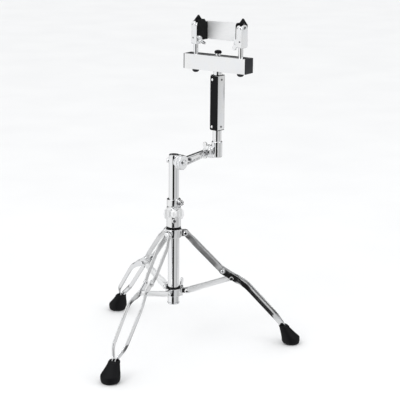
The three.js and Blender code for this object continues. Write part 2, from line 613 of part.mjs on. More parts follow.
function addBeam(head) {
  const half = BEAM.depth / 2;
  const hollow = half - BEAM.wall;
  const reach = BEAM.length / 2 - BEAM.cap;
  const tube = block(-reach, reach, -half, half, BEAM.bottom, BEAM_TOP);
  const inside = block(-reach - 1, reach + 1, -hollow, hollow, BEAM.bottom + BEAM.wall, BEAM_TOP - BEAM.wall);
  const middleHole = rod(4 + FIT, BEAM.bottom - 1, BEAM_TOP + 1, SMALL_ROUND);
  const postHoles = [-1, 1].map((side) => rod(JAW.postRadius + GAP, BEAM_TOP - 5, BEAM_TOP + 1, SMALL_ROUND)
    .translate(side * JAW.x, 0, 0));
  const studHoles = [-1, 1].map((side) => rod(4 + GAP, BEAM.bottom - 1, BEAM.bottom + 5, SMALL_ROUND)
    .translate(side * JAW.x, 0, 0));
  part(head, 'beam', cut(tube, inside, middleHole, ...postHoles, ...studHoles), 'chrome');

  for (const [side, label] of [[-1, 'left'], [1, 'right']]) {
    const lid = block(reach + GAP, reach + BEAM.cap, -half, half, BEAM.bottom, BEAM_TOP);
    const plug = block(reach - 8, reach + GAP + 0.5, -hollow + GAP, hollow - GAP,
      BEAM.bottom + BEAM.wall + GAP, BEAM_TOP - BEAM.wall - GAP);
    const cap = join(lid, plug);
    if (side < 0) cap.rotateZ(Math.PI);
    part(head, `beam_end_cap_${label}`, cap, 'blackPlastic');
  }
}

function addSwivelKnob(head) {
  const seat = BEAM_TOP + GAP;
  const collarTop = seat + 5;
  part(head, 'swivel_collar', pipe(4 + FIT, 7.5, seat, collarTop, SMALL_ROUND), 'chrome');
  const knobBottom = collarTop + GAP;
  part(head, 'swivel_knob', turned([
    [0, POST.top - 17], [4, POST.top - 17], [4, knobBottom], [8.3, knobBottom], [9.5, knobBottom + 1.8],
    [9.2, knobBottom + 4], [7, knobBottom + 6.8], [3, knobBottom + 8.1], [0, knobBottom + 8.3],
  ], 32), 'blackPlastic');
}

function addJawPosts(head) {
  for (const [side, label] of [[-1, 'left'], [1, 'right']]) {
    const shoulder = BEAM.bottom + BEAM.wall + GAP;
    const post = turned([
      [0, BEAM.bottom - 7], [4, BEAM.bottom - 7], [4, shoulder], [JAW.postRadius, shoulder],
      [JAW.postRadius, JAW.postTop - 1], [JAW.postRadius - 1, JAW.postTop], [0, JAW.postTop],
    ], 32);
    part(head, `jaw_post_${label}`, post.translate(side * JAW.x, 0, 0), 'chrome');
    const nutTop = BEAM.bottom - GAP;
    const nut = turned([
      [4 + GAP, nutTop], [4 + GAP, nutTop - 7.2], [0, nutTop - 7.2], [0, nutTop - 9.5], [5, nutTop - 8.5],
      [8.8, nutTop - 5.5], [8.8, nutTop], [4 + GAP, nutTop],
    ], 24);
    part(head, `jaw_post_nut_${label}`, nut.translate(side * JAW.x, 0, 0), 'blackPlastic');
  }
}

// One jaw body: a block with an arched top, bored from below for its post.
function jawBody(side) {
  const half = (JAW.back - JAW.front) / 2;
  const centre = (JAW.back + JAW.front) / 2;
  const outline = [
    [JAW.back, JAW.bottom + 3], ...arc(centre, JAW.top - half, half, 0, 180, 12), [JAW.front, JAW.bottom + 3],
    [JAW.front + 3, JAW.bottom], [JAW.back - 3, JAW.bottom],
  ];
  const x = side * JAW.x;
  const body = sidePrism(outline, x - JAW.width / 2, x + JAW.width / 2);
  const bore = rod(JAW.postRadius + FIT, JAW.bottom - 1, JAW.boreTop, 24).translate(x, 0, 0);
  const thread = aim(rod(3.4, 0, JAW.width / 2 + 1, SMALL_ROUND), [-side, 0, 0], [x, 0, WING_Z]);
  const screwPlace = [side * (JAW.x + JAW.screwX), 0, JAW.screwZ];
  const setScrew = aim(rod(JAW.screwRadius, 0, 20, SMALL_ROUND), [0, -1, 0], screwPlace);
  return cut(body, bore, thread, setScrew);
}

// The rubber pad: a thin pointed wall over the jaw body and behind it, and a broad wall on its inner side.
const PAD = {
  inner: 54.9, innerEnd: 57.7, pointInner: 63.5, pointOuter: 68, roof: 817.3, apex: 831, front: -8, top: 820,
};

function jawPad(side) {
  const wall = (outline, from, to) => (
    side > 0 ? sidePrism(outline, from, to) : sidePrism(outline, -to, -from));
  const broad = wall([
    [PAD.front, 780], [10, 780], [10, PLATE.bottom], [36, PLATE.bottom], [36, 812], [28, 813],
    [22, PAD.top], [-4, PAD.top], [PAD.front, 815],
  ], PAD.inner, PAD.innerEnd);
  const bridge = wall([
    [-4, PAD.roof], [22, PAD.roof], [22, PAD.top], [-4, PAD.top],
  ], PAD.inner + 1, PAD.pointInner + 1);
  const pointed = wall([
    [PAD.front, PAD.roof], [JAW.back + GAP, PAD.roof], [JAW.back + GAP, 790], [28, 790], [28, 813.5],
    [9.5, PAD.apex], [PAD.front, PAD.roof + 1.5],
  ], PAD.pointInner, PAD.pointOuter);
  return join(broad, bridge, pointed);
}

// The bracket: a plate behind both jaws, bent forward at its ends and out again behind each jaw body.
function jawBracket() {
  const back = PLATE.front + PLATE.thickness;
  const seat = JAW.back + GAP;
  const plate = block(-FLANGE.outer, FLANGE.outer, PLATE.front, back, PLATE.bottom, PLATE.top);
  const acrossFrom = (side, from, to) => (side > 0 ? [from, to] : [-to, -from]);
  const ends = [-1, 1].map((side) => {
    const flangeX = acrossFrom(side, FLANGE.inner, FLANGE.outer);
    const flange = block(...flangeX, seat, back, PLATE.bottom, PLATE.top);
    const tab = block(...acrossFrom(side, FLANGE.inner, TAB.outer), seat, seat + 2.5, TAB.bottom, TAB.top);
    const hole = aim(rod(JAW.screwRadius, 0, 40, SMALL_ROUND), [0, 1, 0], [side * JAW.x, 0, TAB.screwZ]);
    return cut(join(flange, tab), hole);
  });
  return join(plate, ...ends);
}

function addJaws(carriage) {
  part(carriage, 'jaw_bracket', jawBracket(), 'chrome');
  for (const [side, label] of [[-1, 'left'], [1, 'right']]) {
    part(carriage, `jaw_${label}`, jawBody(side), 'chrome');
    part(carriage, `jaw_pad_${label}`, jawPad(side), 'blackRubber');
    const wing = wingScrew({
      shankRadius: 3, shankLength: JAW.width / 2 - JAW.postRadius - 1, hubRadius: 5, hubHeight: 11,
      span: 17, lobe: 5.5, thickness: 4,
    });
    wing.rotateZ(THREE.MathUtils.degToRad(WING_TURN[label]));
    wing.rotateY((-side * Math.PI) / 2);
    wing.translate(side * (JAW.x - JAW.width / 2 - GAP), 0, WING_Z);
    part(carriage, `jaw_wing_screw_${label}`, wing, 'chrome');
  }
}

// ---------------------------------------------------------------- assembly

const stand = new THREE.Group();
addBase(stand);
part(stand, 'height_clamp_wing', clampWing(), 'chrome');
addLowerHub(stand);
Object.keys(LEG_ANGLES).forEach((letter) => addLeg(stand, letter));

const column = new THREE.Group();
column.rotation.z = THREE.MathUtils.degToRad(COLUMN_ANGLE);
stand.add(column);
addUpperTube(column);
addMemoryCollar(column);
addLowerTilter(column);
addArm(column);
addPostSocket(column);

const head = new THREE.Group();
head.position.set(POST_X, UPPER_TILT.y, 0);
column.add(head);
addPost(head);
addBeam(head);
addSwivelKnob(head);
addJawPosts(head);
addJaws(head);

// The object's frame has its origin on the floor, under the middle of its bounding box.
stand.updateMatrixWorld(true);
const extent = new THREE.Box3().setFromObject(stand, true);
const middle = extent.getCenter(new THREE.Vector3());
stand.position.set(-middle.x, -middle.y, -extent.min.z);

const group = new THREE.Group();
group.add(stand);

export default group;
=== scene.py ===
import json
import math

import bmesh
import bpy
from mathutils import Matrix, Vector


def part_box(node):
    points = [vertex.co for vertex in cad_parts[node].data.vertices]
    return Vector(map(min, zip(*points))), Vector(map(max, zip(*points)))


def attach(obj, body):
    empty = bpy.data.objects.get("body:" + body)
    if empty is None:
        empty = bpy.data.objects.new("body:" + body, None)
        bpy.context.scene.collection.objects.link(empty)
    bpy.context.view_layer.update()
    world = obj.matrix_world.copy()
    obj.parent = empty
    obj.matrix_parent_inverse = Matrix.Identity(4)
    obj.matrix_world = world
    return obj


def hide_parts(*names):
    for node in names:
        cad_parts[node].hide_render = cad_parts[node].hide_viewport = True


# The finished look of a folding percussion stand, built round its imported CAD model.
# Shapes are made in millimetres in the space of the sub-assembly they belong to, then placed in metres.
# Profiles are [radius, height] points.

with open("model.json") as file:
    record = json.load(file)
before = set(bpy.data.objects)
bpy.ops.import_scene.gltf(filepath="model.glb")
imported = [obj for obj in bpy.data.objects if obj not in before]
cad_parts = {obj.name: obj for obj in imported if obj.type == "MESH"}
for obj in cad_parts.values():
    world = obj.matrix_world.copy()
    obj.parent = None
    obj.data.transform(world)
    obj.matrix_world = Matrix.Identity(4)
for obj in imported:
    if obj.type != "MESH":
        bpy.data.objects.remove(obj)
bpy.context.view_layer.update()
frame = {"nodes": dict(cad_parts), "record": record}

MM = 0.001
BODIES = frame["record"]["behaviour"]["bodies"]
BODY_OF = {node: body for body, nodes in BODIES.items() for node in nodes}
SLOT_OF = {part["node"]: part["material_slot"] for part in frame["record"]["subparts"]}


# ---------------------------------------------------------------- places

def middle(node):
    low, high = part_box(node)
    return (Vector(low) + Vector(high)) / 2


TUBE_FOOT = Vector((middle("lower_tube").x, middle("lower_tube").y, 0))
LEG_ANGLES = {"a": 120, "b": -120, "c": 0}
COLUMN_ANGLE = -35
ARM_LENGTH = 123
LOWER_TILT = Vector((0, 0, 481))
UPPER_TILT = Vector((0, ARM_LENGTH, 488))
POST_PLACE = Vector((47.5, ARM_LENGTH, 0))
LEG_SIDES = ((1, "left"), (-1, "right"))
HEAD_SIDES = ((-1, "left"), (1, "right"))

RIGHT = (1, 0, 0)
FRONT = (0, -1, 0)
BACK = (0, 1, 0)


def turned_about_z(degrees):
    return Matrix.Rotation(math.radians(degrees), 4, "Z")


def space(degrees):
    """The space of a sub-assembly that is turned about the tube."""
    return Matrix.Translation(TUBE_FOOT) @ turned_about_z(degrees) @ Matrix.Scale(MM, 4)


BASE = space(0)
COLUMN = space(COLUMN_ANGLE)
HEAD = COLUMN @ Matrix.Translation(POST_PLACE)
LEG = {letter: space(angle) for letter, angle in LEG_ANGLES.items()}


def aim(origin, direction):
    """Turns +Z to the direction, and moves the origin."""
    return Matrix.Translation(origin) @ Vector(direction).to_track_quat("Z", "Y").to_matrix().to_4x4()


def toward(start, end, distance):
    return start + (end - start).normalized() * distance


def sideways(place, y):
    return Vector((place.x, y, place.z))


# ---------------------------------------------------------------- mesh makers

def soften(points, radius, closed=False):
    """Rounds each corner of an outline with a short curve."""
    steps = 3
    rounded = []
    count = len(points)
    for i, point in enumerate(points):
        if not closed and i in (0, count - 1):
            rounded.append(Vector(point))
            continue
        here = Vector(point)
        before = Vector(points[i - 1]) - here
        after = Vector(points[(i + 1) % count]) - here
        trim = min(radius, before.length * 0.45, after.length * 0.45)
        start = here + before.normalized() * trim
        end = here + after.normalized() * trim
        for k in range(steps + 1):
            t = k / steps
            rounded.append(start.lerp(here, t).lerp(here.lerp(end, t), t))
    return rounded


def loft(loops, capped=True, ring=False):
    """Joins closed loops of points, all of one length, into a skin."""
    bm = bmesh.new()
    rows = [[bm.verts.new(point) for point in loop] for loop in loops]
    pairs = list(zip(rows, rows[1:]))
    if ring:
        pairs.append((rows[-1], rows[0]))
    size = len(rows[0])
    for low, high in pairs:
        for k in range(size):
            bm.faces.new((low[k], low[(k + 1) % size], high[(k + 1) % size], high[k]))
    if capped and not ring:
        bm.faces.new(list(reversed(rows[0])))
        bm.faces.new(rows[-1])
    bmesh.ops.recalc_face_normals(bm, faces=bm.faces)
    return bm


def lathe(profile, segments=72, closed=False, flutes=0, flute_depth=0.0):
    """Turns [radius, z] points about Z. Flutes scallop the radius, except near the axis."""
    loops = []
    for radius, z in profile:
        loop = []
        for k in range(segments):
            angle = 2 * math.pi * k / segments
            scallop = flute_depth * (0.5 - 0.5 * math.cos(flutes * angle)) if radius > flute_depth * 4 else 0
            reach = max(radius - scallop, 0)
            loop.append((reach * math.cos(angle), reach * math.sin(angle), z))
        loops.append(loop)
    bm = loft(loops, capped=False, ring=closed)
    bmesh.ops.remove_doubles(bm, verts=bm.verts, dist=1e-5)
    bmesh.ops.recalc_face_normals(bm, faces=bm.faces)
    return bm


def turned(profile, rounding, segments=72):
    """Turns a profile whose corners are rounded."""
    return lathe(soften(profile, rounding), segments)


def mirrored(upper_half):
    """A whole profile from the half above z 0."""
    return [(radius, -z) for radius, z in reversed(upper_half)] + upper_half


def pipe(inner, outer, bottom, top, rounding=0.5):
    profile = [(inner, bottom), (outer, bottom), (outer, top), (inner, top)]
    return lathe(soften(profile, rounding, closed=True), segments=96, closed=True)


def toothed_disc(inner, outer, low, high):
    """A disc whose rim carries fine radial teeth."""
    profile = [(inner, low), (outer, low), (outer, high), (inner, high)]
    return lathe(soften(profile, 0.25, closed=True), segments=240, closed=True, flutes=48, flute_depth=0.9)


def ball(rx, ry, rz, place):
    bm = bmesh.new()
    bmesh.ops.create_uvsphere(bm, u_segments=32, v_segments=20, radius=1)
    bm.transform(Matrix.Translation(place) @ Matrix.Diagonal((rx, ry, rz, 1)))
    return bm


def holed_square(half, hole, low, high):
    """A square plate with a round hole."""
    segments = 72
    angles = [2 * math.pi * k / segments for k in range(segments)]
    circle = [(math.cos(angle), math.sin(angle)) for angle in angles]
    square = [(x * half / max(abs(x), abs(y)), y * half / max(abs(x), abs(y))) for x, y in circle]
    inner = [(x * hole, y * hole) for x, y in circle]
    corners = ((inner, low), (square, low), (square, high), (inner, high))
    return loft([[(x, y, z) for x, y in outline] for outline, z in corners], ring=True)


def block(low, high):
    bm = bmesh.new()
    bmesh.ops.create_cube(bm, size=1)
    low = Vector(low)
    high = Vector(high)
    bm.transform(Matrix.Translation((low + high) / 2) @ Matrix.Diagonal((*(high - low), 1)))
    return bm


def moved(bm, matrix):
    bm.transform(matrix)
    return bm


def merged(*parts):
    """Puts several meshes into the first one."""
    whole = parts[0]
    for part in parts[1:]:
        scrap = bpy.data.meshes.new("scrap")
        part.to_mesh(scrap)
        whole.from_mesh(scrap)
        bpy.data.meshes.remove(scrap)
        part.free()
    return whole


def cad_mesh(node):
    """A welded copy of a CAD node's mesh, in metres, with its flat faces whole."""
    bm = bmesh.new()
    bm.from_mesh(frame["nodes"][node].data)
    bmesh.ops.remove_doubles(bm, verts=bm.verts, dist=1e-6)
    bmesh.ops.dissolve_limit(bm, angle_limit=math.radians(0.5), verts=bm.verts, edges=bm.edges)
    return bm


# ---------------------------------------------------------------- pieces

SHARP_ANGLE = 28


def piece(name, bm, body, slot):
    """Makes an object of a mesh that is already in place, in metres."""
    mesh = bpy.data.meshes.new(name)
    bm.to_mesh(mesh)
    bm.free()
    mesh.polygons.foreach_set("use_smooth", [True] * len(mesh.polygons))
    obj = bpy.data.objects.new(name, mesh)
    bpy.context.scene.collection.objects.link(obj)
    mesh.materials.append(MATERIALS[slot])
    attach(obj, body)
    return obj


def fitting(name, bm, body, slot):
    """A small turned or lofted piece that the CAD model doesn't have."""
    return even_shading(piece(name, bm, body, slot))


def stand_in(node, bm, slot=None):
    """The piece that stands for a CAD node, in the node's own finish unless another is named."""
    obj = piece(f"{node}_finished", bm, BODY_OF[node], slot or SLOT_OF[node])
    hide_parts(node)
    return obj


def dress(node, bm):
    """A turned or lofted piece that stands for a CAD node."""
    return even_shading(stand_in(node, bm))


def even_shading(obj):
    """Keeps broad faces flat in smooth shading, so that only the small rounded edges curve."""
    obj.modifiers.new("normals", "WEIGHTED_NORMAL").weight = 80
    return obj


def bevel(obj, width):
    """Rounds the sharp edges of a piece."""
    modifier = obj.modifiers.new("edges", "BEVEL")
    modifier.width = width * MM
    modifier.segments = 3
    modifier.limit_method = "ANGLE"
    modifier.angle_limit = math.radians(SHARP_ANGLE)
    modifier.harden_normals = True
    return obj


def cast(obj, voxel, passes):
    """Turns overlapping solids into one skin with the soft fillets of a casting."""
    skin = obj.modifiers.new("one_skin", "REMESH")
    skin.mode = "VOXEL"
    skin.voxel_size = voxel * MM
    skin.use_smooth_shade = True
    relax = obj.modifiers.new("fillets", "SMOOTH")
    relax.factor = 0.5
    relax.iterations = passes
    return obj


def cast_node(node, voxel, passes):
    """A CAD node's own shape, as a casting."""
    return cast(stand_in(node, cad_mesh(node)), voxel, passes)


def beveled_node(node, width, slot=None):
    """A CAD node's own shape, with rounded edges."""
    return bevel(stand_in(node, cad_mesh(node), slot), width)


def screw_head(rim, face, top, foot=-1, rounding=0.4, segments=40):
    """A small screw's head. Its side goes straight up to the rim, and slopes in to the face."""
    return turned([(0, foot), (rim[0], foot), rim, face, (0, top)], rounding, segments)


# ---------------------------------------------------------------- materials

class Shader:
    """A short way to write a Principled material's node tree."""

    def __init__(self, name, metallic):
        self.material = bpy.data.materials.new(name)
        self.material.use_nodes = True
        self.tree = self.material.node_tree
        self.surface = self.tree.nodes["Principled BSDF"]
        self.surface.inputs["Metallic"].default_value = metallic
        self.coordinates = self.add("ShaderNodeTexCoord").outputs["Object"]

    def add(self, kind, **values):
        node = self.tree.nodes.new(kind)
        for key, value in values.items():
            if key in node.inputs:
                node.inputs[key].default_value = value
            else:
                setattr(node, key, value)
        return node

    def link(self, output, entry):
        self.tree.links.new(output, entry)

    def noise(self, scale, detail=3.0, stretch=(1, 1, 1), roughness=0.5):
        mapping = self.add("ShaderNodeMapping")
        mapping.inputs["Scale"].default_value = stretch
        self.link(self.coordinates, mapping.inputs["Vector"])
        noise = self.add("ShaderNodeTexNoise", Scale=scale, Detail=detail, Roughness=roughness)
        self.link(mapping.outputs["Vector"], noise.inputs["Vector"])
        return noise.outputs["Fac"]

    def ranged(self, value, low, high, start, end):
        node = self.add("ShaderNodeMapRange")
        node.inputs["From Min"].default_value = start
        node.inputs["From Max"].default_value = end
        node.inputs["To Min"].default_value = low
        node.inputs["To Max"].default_value = high
        self.link(value, node.inputs["Value"])
        return node.outputs["Result"]

    def ramp(self, value, stops):
        node = self.add("ShaderNodeValToRGB")
        ramp = node.color_ramp
        while len(ramp.elements) < len(stops):
            ramp.elements.new(0.5)
        for element, (place, color) in zip(ramp.elements, stops):
            element.position = place
            element.color = (*color, 1)
        self.link(value, node.inputs["Fac"])
        return node.outputs["Color"]

    def sum(self, first, second, weight):
        node = self.add("ShaderNodeMath", operation="MULTIPLY_ADD")
        self.link(second, node.inputs[0])
        node.inputs[1].default_value = weight
        self.link(first, node.inputs[2])
        return node.outputs["Value"]

    def color(self, output):
        self.link(output, self.surface.inputs["Base Color"])

    def roughness(self, output):
        self.link(output, self.surface.inputs["Roughness"])

    def bump(self, height, strength, distance):
        node = self.add("ShaderNodeBump", Strength=strength, Distance=distance)
        self.link(height, node.inputs["Height"])
        self.link(node.outputs["Normal"], self.surface.inputs["Normal"])


def chrome(name, wave, wave_scale, haze=0.1, tone=0.92):
    """Bright plating: hazy where it was handled, finely scratched, and wavy where the metal below is."""
    shader = Shader(name, 1.0)
    haze_noise = shader.noise(38, detail=4, roughness=0.6)
    scratches = shader.noise(700, detail=2, stretch=(1, 1, 0.04))
    worn = shader.sum(haze_noise, scratches, 0.25)
    shader.roughness(shader.ranged(worn, 0.035, haze, start=0.45, end=0.85))
    shader.color(shader.ramp(haze_noise, [
        (0.3, (tone * 0.97, tone * 0.98, tone)),
        (0.6, (tone, tone, tone)),
        (0.8, (tone * 0.93, tone * 0.93, tone * 0.92)),
    ]))
    waves = shader.noise(wave_scale, detail=1.5)
    shader.bump(shader.sum(waves, scratches, 0.02), wave, 0.0006)
    return shader.material


def satin(name, tone, rough, grain, metallic=1.0):
    """Satin plating with a fine brushed grain."""
    shader = Shader(name, metallic)
    lines = shader.noise(1100, detail=3, stretch=grain)
    patches = shader.noise(30, detail=4, roughness=0.6)
    shader.roughness(shader.ranged(shader.sum(patches, lines, 0.6), *rough, start=0.5, end=1.1))
    shader.color(shader.ramp(lines, [
        (0.25, (tone * 0.9, tone * 0.91, tone * 0.92)),
        (0.5, (tone, tone, tone)),
        (0.75, (tone * 0.95, tone * 0.96, tone * 0.97)),
    ]))
    shader.bump(shader.sum(lines, patches, 0.2), 0.1, 0.0002)
    return shader.material


def dark_steel():
    shader = Shader("dark_steel", 1.0)
    blotches = shader.noise(160, detail=4)
    brushed = shader.noise(900, detail=2, stretch=(1, 0.08, 1))
    shader.color(shader.ramp(blotches, [
        (0.3, (0.16, 0.16, 0.17)),
        (0.55, (0.25, 0.25, 0.26)),
        (0.8, (0.34, 0.33, 0.32)),
    ]))
    shader.roughness(shader.ranged(shader.sum(blotches, brushed, 0.5), 0.2, 0.42, start=0.5, end=1.0))
    shader.bump(brushed, 0.12, 0.0002)
    return shader.material


def black_moulding(name, base, scuff, rough, grain, grain_scale):
    """Black rubber or nylon: a fine grain, greyer where it is scuffed and dusty."""
    shader = Shader(name, 0.0)
    scuffs = shader.noise(55, detail=6, roughness=0.7)
    fine = shader.noise(grain_scale, detail=3)
    shader.color(shader.ramp(scuffs, [(0.35, base), (0.62, base), (0.8, scuff)]))
    shader.roughness(shader.ranged(shader.sum(scuffs, fine, 0.4), *rough, start=0.45, end=0.95))
    shader.bump(shader.sum(fine, scuffs, 0.5), grain, 0.0003)
    shader.surface.inputs["Specular IOR Level"].default_value = 0.14
    return shader.material


MATERIALS = {
    "tube_chrome": chrome("tube_chrome", wave=0.02, wave_scale=30),
    "plate_chrome": chrome("plate_chrome", wave=0.03, wave_scale=22, haze=0.14),
    "strap_chrome": chrome("strap_chrome", wave=0.12, wave_scale=60, haze=0.14, tone=0.82),
    "cast_chrome": chrome("cast_chrome", wave=0.35, wave_scale=110, haze=0.16, tone=0.9),
    "brushed_chrome": satin("brushed_chrome", tone=0.84, rough=(0.26, 0.46), grain=(0.05, 1, 1)),
    "satin_plate": satin(
        "satin_plate", tone=0.93, rough=(0.3, 0.42), grain=(0.05, 0.05, 1), metallic=0.5),
    "dark_steel": dark_steel(),
    "foot_rubber": black_moulding(
        "foot_rubber", base=(0.0045, 0.0045, 0.0055), scuff=(0.016, 0.016, 0.018),
        rough=(0.38, 0.62), grain=0.25, grain_scale=900),
    "pad_rubber": black_moulding(
        "pad_rubber", base=(0.005, 0.005, 0.006), scuff=(0.016, 0.016, 0.017),
        rough=(0.45, 0.7), grain=0.3, grain_scale=1200),
    "charcoal_plastic": black_moulding(
        "charcoal_plastic", base=(0.022, 0.023, 0.026), scuff=(0.045, 0.045, 0.048),
        rough=(0.34, 0.52), grain=0.16, grain_scale=1300),
    "black_plastic": black_moulding(
        "black_plastic", base=(0.004, 0.004, 0.0048), scuff=(0.014, 0.014, 0.015),
        rough=(0.28, 0.45), grain=0.12, grain_scale=1500),
}


# ---------------------------------------------------------------- tripod base

TUBE_END_CAP = [
    (0, 109.2), (9, 109.2), (10, 108.2), (13.4, 108.2), (15.1, 110), (15.1, 113),
    (12.8, 113), (12.8, 124), (0, 124),
]
CLAMP_WING_Z = 353
CLAMP_LOBE_X = 18.4
CLAMP_GUIDE_SCREW = (2, -21, 331)


def clamp_wing():
    """The wing bolt's CAD shape, with a full round hub and lobes."""
    hub = ball(7.4, 6, 10.6, (0, -31, CLAMP_WING_Z))
    lobes = [ball(7, 3.4, 13, (side * CLAMP_LOBE_X, -30.4, CLAMP_WING_Z)) for side in (1, -1)]
    return merged(cad_mesh("height_clamp_wing"), *(moved(bump, BASE) for bump in (hub, *lobes)))


def build_base():
    dress("lower_tube", moved(pipe(13.1, 14.3, 113.3, 359.7), BASE))
    dress("tube_end_cap", moved(turned(TUBE_END_CAP, 0.8), BASE))
    dress("top_hub_bushing", moved(pipe(14.6, 18.2, 307.3, 312.7, 1.2), BASE))
    dress("lower_hub_bushing", moved(pipe(14.7, 18.2, 150.3, 154, 1.0), BASE))
    for node in ("top_hub", "lower_hub", "height_clamp"):
        cast_node(node, 0.65, 7)
    cast(stand_in("height_clamp_wing", clamp_wing()), 0.5, 6)
    cast_node("lower_hub_wing_screw", 0.5, 6)
    screw = screw_head((3.6, 1.4), (2.4, 2.4), 2.6, foot=0, segments=36)
    screw_place = BASE @ aim(CLAMP_GUIDE_SCREW, FRONT)
    fitting("clamp_guide_screw", moved(screw, screw_place), "base", "dark_steel")


# ---------------------------------------------------------------- legs

# Each leg is made in its own plane, y 0, with x pointing away from the tube.
HUB_PIN = Vector((30, 0, 296))
KNEE_RIVET = Vector((124, 0, 197))
KNEE_PIVOT = Vector((147, 0, 177))
FLARE_START = Vector((152, 0, 179))
FLARE_END = Vector((184, 0, 161))
LOWER_BEND = Vector((262, 0, 75))
ANKLE = Vector((280.5, 0, 51))
FOOT_CENTRE = Vector((302, 0, 0))
BRACE_PIN = Vector((34, 0, 143))

# How far from the leg's plane the knee's small parts sit, and the inner pin's profile.
RIVET_Y = 11.6
BOLT_Y = 8.7
KNEE_PIN_Y = 6.8
KNEE_PIN = [(0, -1.1), (2.6, -1.1), (2.6, 4), (0, 4)]

STRAP_THICKNESS = 2.4
STRAP_EDGE = 0.8
STRAP_CROWN = 0.3
STRAP_BEND = 20
UPPER_DEPTH = 14
UPPER_LENGTH = (KNEE_RIVET - HUB_PIN).length

# The upper strap's bends: distance from the hub's pin, and distance from the leg's plane.
UPPER_STATIONS = [
    (0, 6.6), (14, 6.6), (32, 12), (UPPER_LENGTH - 22, 12), (UPPER_LENGTH - 9, 10.2), (UPPER_LENGTH, 10.2),
]
# The lower strap's bends: place, distance from the leg's plane, and depth.
LOWER_STATIONS = [
    (KNEE_RIVET, 7.3, 17.6), (FLARE_START, 7.3, 17), (FLARE_END, 19.5, 13), (LOWER_BEND, 17.5, 13),
    (ANKLE, 4.2, 13), (toward(ANKLE, FOOT_CENTRE, 14), 4.2, 12),
]
# Each ring of the boot: height, reach inwards and outwards from the foot's centre, and half width.
BOOT_RINGS = [
    (0.05, -14.5, 19.4, 17.5), (0.6, -16.5, 21.2, 19.7), (2.4, -19, 23, 22), (3.4, -19.2, 22.9, 22.1),
    (4.4, -20.2, 23.7, 23.2), (7.5, -21.5, 24.3, 24.1), (14, -22.3, 24.4, 24.7), (17.6, -22.8, 23.8, 24.4),
    (20, -23.3, 21.5, 23.8), (23, -23.9, 17.8, 22.8), (30, -25.4, 10.4, 19.9), (39, -27.6, 1.4, 16.7),
    (43.5, -28.7, -2.4, 15.1), (45.2, -29.7, -3, 15.2), (48, -30.4, -5.8, 14.2), (49.2, -29.8, -7.4, 13),
]
BOOT_MOUTH = [(49.4, -28.6, -9, 10.8), (48.6, -28, -9.8, 9.4), (46, -27.6, -10.2, 8.6)]


def bent_path(stations):
    """Rounds the bends of [place, depth] stations: each corner becomes a short curve."""
    steps = 6
    path = [stations[0]]
    for (before, _), (here, depth), (after, _) in zip(stations, stations[1:], stations[2:]):
        trim = min(STRAP_BEND, (before - here).length * 0.4, (after - here).length * 0.4)
        start = toward(here, before, trim)
        end = toward(here, after, trim)
        for k in range(steps + 1):
            t = k / steps
            path.append((start.lerp(here, t).lerp(here.lerp(end, t), t), depth))
    path.append(stations[-1])
    return path


def round_ends(path):
    """Adds stations that close each end in a half circle as deep as the strap."""
    steps = 7
    whole = list(path)
    for index, neighbour in ((0, 1), (-1, -2)):
        place, depth = path[index]
        outward = (place - path[neighbour][0]).normalized()
        cap = []
        for k in range(1, steps + 1):
            angle = math.pi / 2 * k / steps * 0.97
            cap.append((place + outward * depth / 2 * math.sin(angle), depth * math.cos(angle)))
        whole = list(reversed(cap)) + whole if index == 0 else whole + cap
    return whole


def strap_section(depth):
    """A strap's outline with rounded edges and slightly crowned faces, as [depthwise, sideways] points."""
    d = depth / 2
    t = STRAP_THICKNESS / 2
    crown = t + STRAP_CROWN
    corners = [
        (d, t), (d * 0.5, crown), (-d * 0.5, crown), (-d, t),
        (-d, -t), (-d * 0.5, -crown), (d * 0.5, -crown), (d, -t),
    ]
    return soften(corners, min(STRAP_EDGE, d * 0.9), closed=True)


def strap(stations):
    """A flat bar that is bent at each [place, depth] station."""
    path = round_ends(bent_path(stations))
    loops = []
    for i, (place, depth) in enumerate(path):
        along = (path[min(i + 1, len(path) - 1)][0] - path[max(i - 1, 0)][0]).normalized()
        up = Vector((-along.z, 0, along.x)).normalized()
        side = along.cross(up).normalized()
        loops.append([place + up * a + side * b for a, b in strap_section(depth)])
    return loft(loops)


def upper_strap(side):
    return strap([
        (sideways(toward(HUB_PIN, KNEE_RIVET, distance), side * y), UPPER_DEPTH)
        for distance, y in UPPER_STATIONS
    ])


def lower_strap(side):
    return strap([(sideways(place, side * y), depth) for place, y, depth in LOWER_STATIONS])


def domed_head(radius, height):
    """A rivet's head on a thin washer."""
    washer = 0.8
    return turned([
        (0, -1), (radius, -1), (radius, washer), (radius * 0.82, washer + 0.1),
        (radius * 0.76, height * 0.7), (radius * 0.45, height), (0, height * 1.03),
    ], 0.7, segments=48)


def hex_head(radius, height):
    """A hexagon bolt head with a chamfered top on a thin washer."""
    chamfer = [(radius, height - 0.7), (radius * 0.86, height)]
    hexagon = lathe([(0, 0.6), (radius, 0.6), *chamfer, (0, height)], segments=6)
    washer = turned([(0, -1), (radius * 1.08, -1), (radius * 1.08, 0.7), (0, 0.7)], 0.3, segments=48)
    return merged(hexagon, washer)


def headed_pin(radius, head, grip):
    """A pin with a shallow head at each end of its grip."""
    half = grip / 2
    top = half + 2.2
    upper_half = [(radius, half), (head, half), (head, half + 0.9), (head * 0.6, top), (0, top)]
    return turned(mirrored(upper_half), 0.5, segments=48)


def curve_through(rows):
    """A smooth curve through rows of numbers."""
    steps = 4
    smooth = []
    for i in range(len(rows) - 1):
        window = [rows[max(i - 1, 0)], rows[i], rows[i + 1], rows[min(i + 2, len(rows) - 1)]]
        for k in range(steps):
            t = k / steps
            smooth.append([
                b + t * ((c - a) / 2 + t * (a - 2.5 * b + 2 * c - d / 2 + t * (1.5 * (b - c) + (d - a) / 2)))
                for a, b, c, d in zip(*window)])
    return smooth + [list(rows[-1])]


